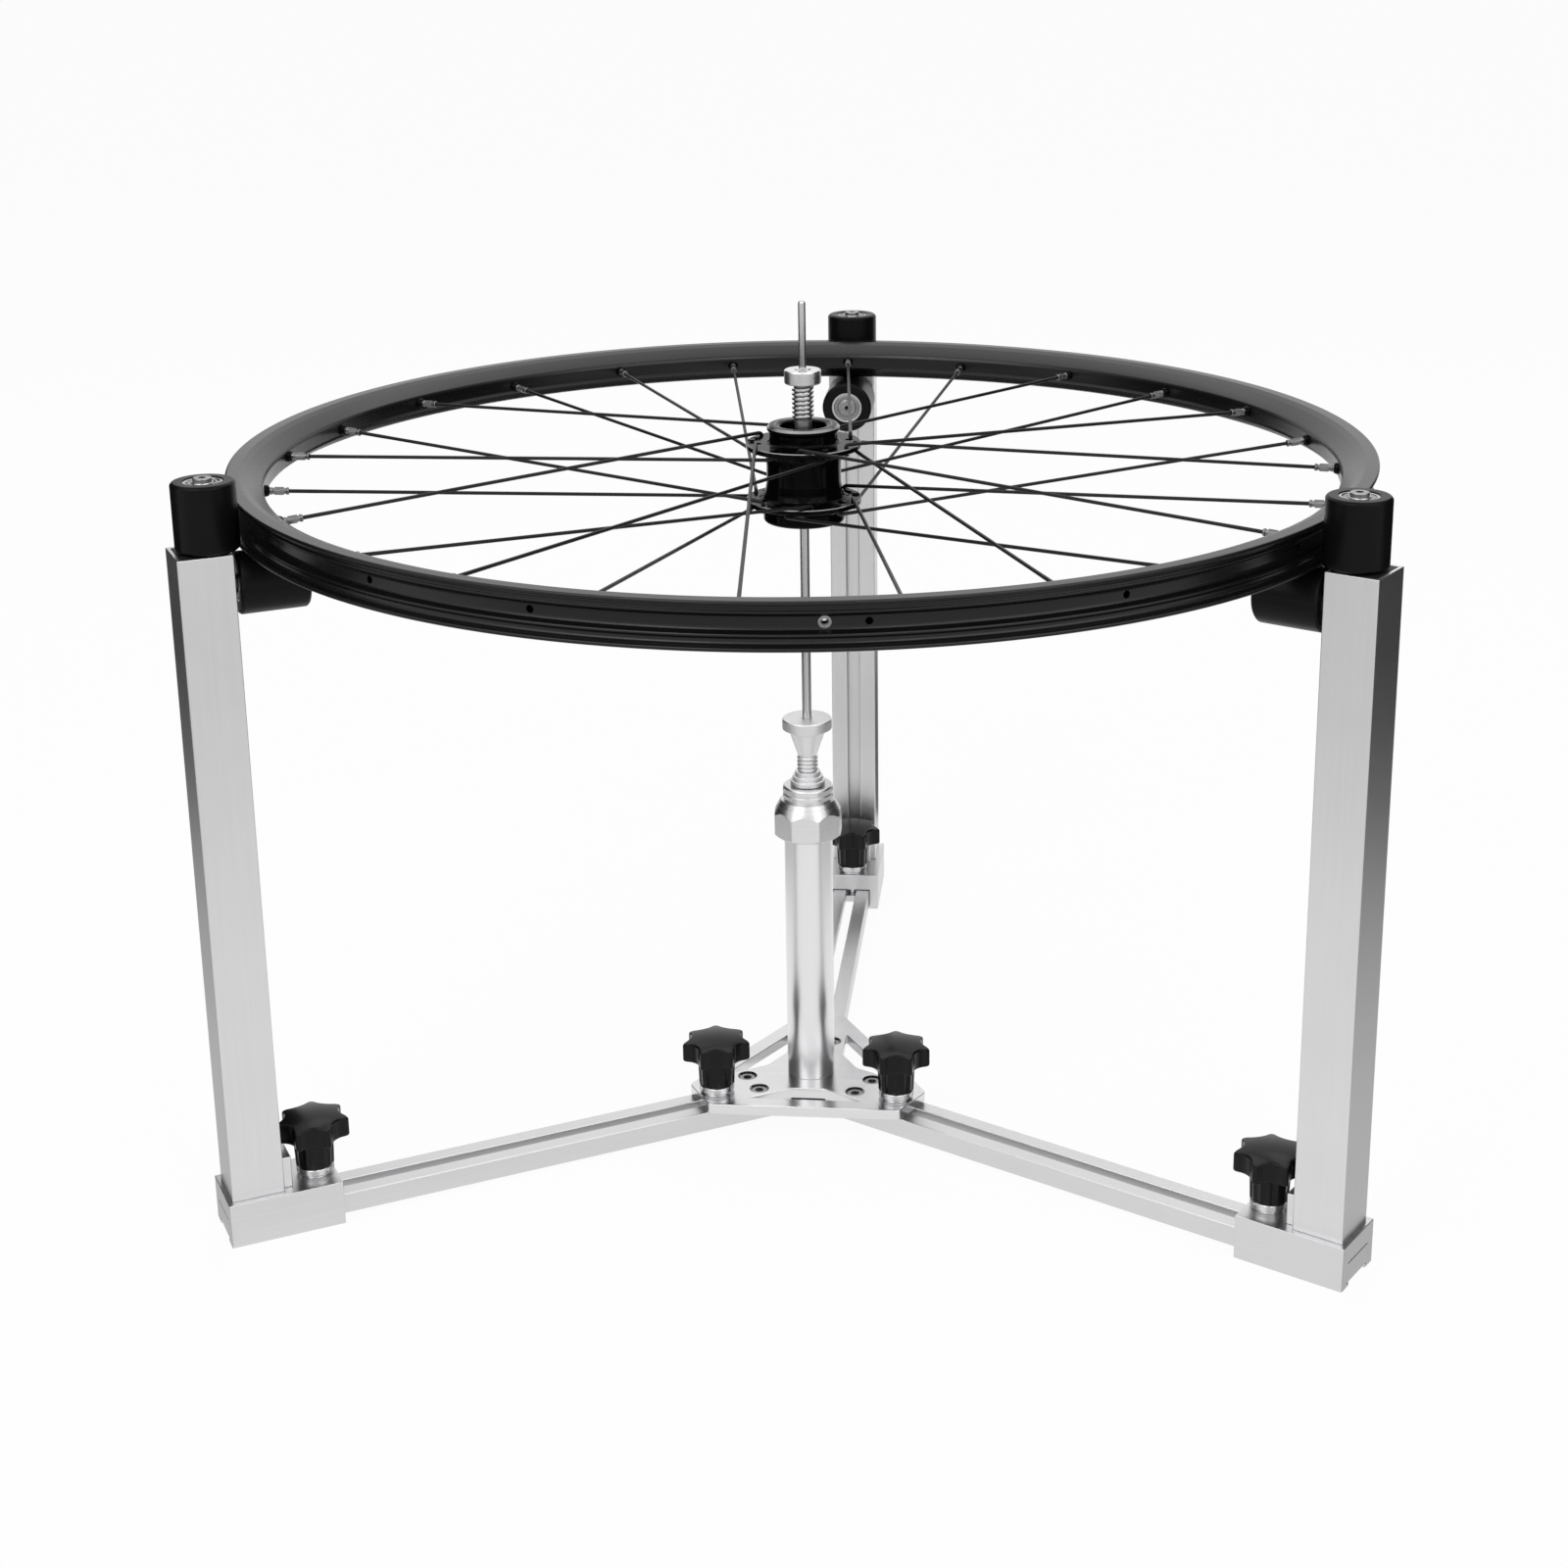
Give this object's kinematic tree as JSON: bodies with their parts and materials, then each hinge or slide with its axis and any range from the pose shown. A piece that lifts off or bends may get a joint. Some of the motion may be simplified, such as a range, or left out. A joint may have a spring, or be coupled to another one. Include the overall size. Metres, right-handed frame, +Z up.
{
  "type": "bicycle wheel truing stand",
  "caption": "Horizontal truing stand: slotted arms with sliding roller posts and clamping knobs round a centre column with a collet nut and rod, carrying a spoked wheel.",
  "frame": {"origin": "on the column's axis, on the bench, at the middle of the centre pad's underside", "axes": "+Z up, +Y along the back arm, +X to the right seen from the front, between the two clamped arms"},
  "size_m": [0.5959, 0.632, 0.46],
  "materials": {
    "satin_aluminium": "satin anodised",
    "polished_plate": "polished",
    "bright_aluminium": "turned and polished",
    "ground_steel": "ground",
    "bright_steel": "zinc plated",
    "bearing_steel": "ground bearing steel",
    "knob_plastic": "moulded black",
    "roller_black": "satin black",
    "insert_black": "matt black",
    "rim_black": "satin black anodised",
    "hub_black": "gloss black",
    "spoke_black": "black coated",
    "nipple_silver": "plain",
    "pad_rubber": "matt"
  },
  "bodies": {
    "base": {"hub_plate": "polished_plate", "arm_back": "satin_aluminium", "arm_left": "satin_aluminium", "arm_right": "satin_aluminium", "arm_screws": "bright_steel", "column_tube": "bright_aluminium", "column_bolt": "bright_steel", "centre_pad": "pad_rubber", "plate_t_nuts": "bright_steel"},
    "collet": {"collet_nut": "bright_aluminium"},
    "spindle": {"support_spindle": "bright_aluminium"},
    "rod": {"centre_rod": "ground_steel"},
    "axle": {"hub_axle": "bright_steel"},
    "plug": {"hub_plug": "bright_aluminium"},
    "wheel": {"rim": "rim_black", "spokes": "spoke_black", "nipples": "nipple_silver", "hub_shell": "hub_black", "hub_bearings": "bearing_steel"},
    "post_back": {"slide_block_back": "satin_aluminium", "post_back": "satin_aluminium", "post_insert_back": "insert_black", "foot_bracket_back": "satin_aluminium", "roller_axles_back": "bright_steel", "t_nut_back": "bright_steel"},
    "side_roll_back": {"side_roller_back": "roller_black", "side_bearings_back": "bearing_steel"},
    "rim_roll_back": {"rim_roller_back": "roller_black", "rim_bearings_back": "bearing_steel"},
    "block_clamp_back": {"block_knob_back": "knob_plastic", "block_stud_back": "bright_steel"},
    "post_left": {"slide_block_left": "satin_aluminium", "post_left": "satin_aluminium", "post_insert_left": "insert_black", "foot_bracket_left": "satin_aluminium", "roller_axles_left": "bright_steel", "t_nut_left": "bright_steel"},
    "side_roll_left": {"side_roller_left": "roller_black", "side_bearings_left": "bearing_steel"},
    "rim_roll_left": {"rim_roller_left": "roller_black", "rim_bearings_left": "bearing_steel"},
    "block_clamp_left": {"block_knob_left": "knob_plastic", "block_stud_left": "bright_steel"},
    "post_right": {"slide_block_right": "satin_aluminium", "post_right": "satin_aluminium", "post_insert_right": "insert_black", "foot_bracket_right": "satin_aluminium", "roller_axles_right": "bright_steel", "t_nut_right": "bright_steel"},
    "side_roll_right": {"side_roller_right": "roller_black", "side_bearings_right": "bearing_steel"},
    "rim_roll_right": {"rim_roller_right": "roller_black", "rim_bearings_right": "bearing_steel"},
    "block_clamp_right": {"block_knob_right": "knob_plastic", "block_stud_right": "bright_steel"},
    "plate_clamp_left": {"plate_knob_left": "knob_plastic", "plate_stud_left": "bright_steel"},
    "plate_clamp_right": {"plate_knob_right": "knob_plastic", "plate_stud_right": "bright_steel"}
  },
  "joints": [
    {"name": "collet_turn", "type": "hinge", "parent": "base", "child": "collet", "pos_m": [0, 0, 0.17], "axis": [0, 0, 1], "range_deg": [0, 540]},
    {"name": "spindle_lift", "type": "slide", "parent": "base", "child": "spindle", "axis": [0, 0, 1], "range_m": [0, 0.04]},
    {"name": "rod_slide", "type": "slide", "parent": "spindle", "child": "rod", "axis": [0, 0, 1], "range_m": [-0.06, 0.018]},
    {"name": "wheel_lift", "type": "slide", "parent": "base", "child": "axle", "axis": [0, 0, 1], "range_m": [0, 0.2]},
    {"name": "wheel_spin", "type": "hinge", "parent": "axle", "child": "wheel", "pos_m": [0, 0, 0.37], "axis": [0, 0, 1], "continuous": true},
    {"name": "plug_lift", "type": "slide", "parent": "axle", "child": "plug", "axis": [0, 0, 1], "range_m": [0, 0.08]},
    {"name": "post_slide_back", "type": "slide", "parent": "base", "child": "post_back", "axis": [0, 1, 0], "range_m": [0, 0.02]},
    {"name": "side_roller_spin_back", "type": "hinge", "parent": "post_back", "child": "side_roll_back", "pos_m": [0, 0.3138, 0.3815], "axis": [0, 0, 1], "continuous": true},
    {"name": "rim_roller_spin_back", "type": "hinge", "parent": "post_back", "child": "rim_roll_back", "pos_m": [0, 0.2852, 0.3462], "axis": [0, 1, 0], "continuous": true},
    {"name": "block_knob_turn_back", "type": "hinge", "parent": "post_back", "child": "block_clamp_back", "pos_m": [0, 0.285, 0.04], "axis": [0, 0, 1], "range_deg": [0, 540]},
    {"name": "post_slide_left", "type": "slide", "parent": "base", "child": "post_left", "axis": [-0.866, -0.5, 0], "range_m": [0, 0.02]},
    {"name": "side_roller_spin_left", "type": "hinge", "parent": "post_left", "child": "side_roll_left", "pos_m": [-0.27176, -0.1569, 0.3815], "axis": [0, 0, 1], "continuous": true},
    {"name": "rim_roller_spin_left", "type": "hinge", "parent": "post_left", "child": "rim_roll_left", "pos_m": [-0.24699, -0.1426, 0.3462], "axis": [-0.866, -0.5, 0], "continuous": true},
    {"name": "block_knob_turn_left", "type": "hinge", "parent": "post_left", "child": "block_clamp_left", "pos_m": [-0.24682, -0.1425, 0.04], "axis": [0, 0, 1], "range_deg": [0, 540]},
    {"name": "post_slide_right", "type": "slide", "parent": "base", "child": "post_right", "axis": [0.866, -0.5, 0], "range_m": [0, 0.02]},
    {"name": "side_roller_spin_right", "type": "hinge", "parent": "post_right", "child": "side_roll_right", "pos_m": [0.27176, -0.1569, 0.3815], "axis": [0, 0, 1], "continuous": true},
    {"name": "rim_roller_spin_right", "type": "hinge", "parent": "post_right", "child": "rim_roll_right", "pos_m": [0.24699, -0.1426, 0.3462], "axis": [0.866, -0.5, 0], "continuous": true},
    {"name": "block_knob_turn_right", "type": "hinge", "parent": "post_right", "child": "block_clamp_right", "pos_m": [0.24682, -0.1425, 0.04], "axis": [0, 0, 1], "range_deg": [0, 540]},
    {"name": "plate_knob_turn_left", "type": "hinge", "parent": "base", "child": "plate_clamp_left", "pos_m": [-0.05023, -0.029, 0.035], "axis": [0, 0, 1], "range_deg": [0, 540]},
    {"name": "plate_knob_turn_right", "type": "hinge", "parent": "base", "child": "plate_clamp_right", "pos_m": [0.05023, -0.029, 0.035], "axis": [0, 0, 1], "range_deg": [0, 540]}
  ],
  "couplings": [
    {"joint": "side_roller_spin_back", "follows": "wheel_spin", "ratio": -19.226},
    {"joint": "rim_roller_spin_back", "follows": "wheel_spin", "ratio": -18.581},
    {"joint": "side_roller_spin_left", "follows": "wheel_spin", "ratio": -19.226},
    {"joint": "rim_roller_spin_left", "follows": "wheel_spin", "ratio": -18.581},
    {"joint": "side_roller_spin_right", "follows": "wheel_spin", "ratio": -19.226},
    {"joint": "rim_roller_spin_right", "follows": "wheel_spin", "ratio": -18.581}
  ]
}
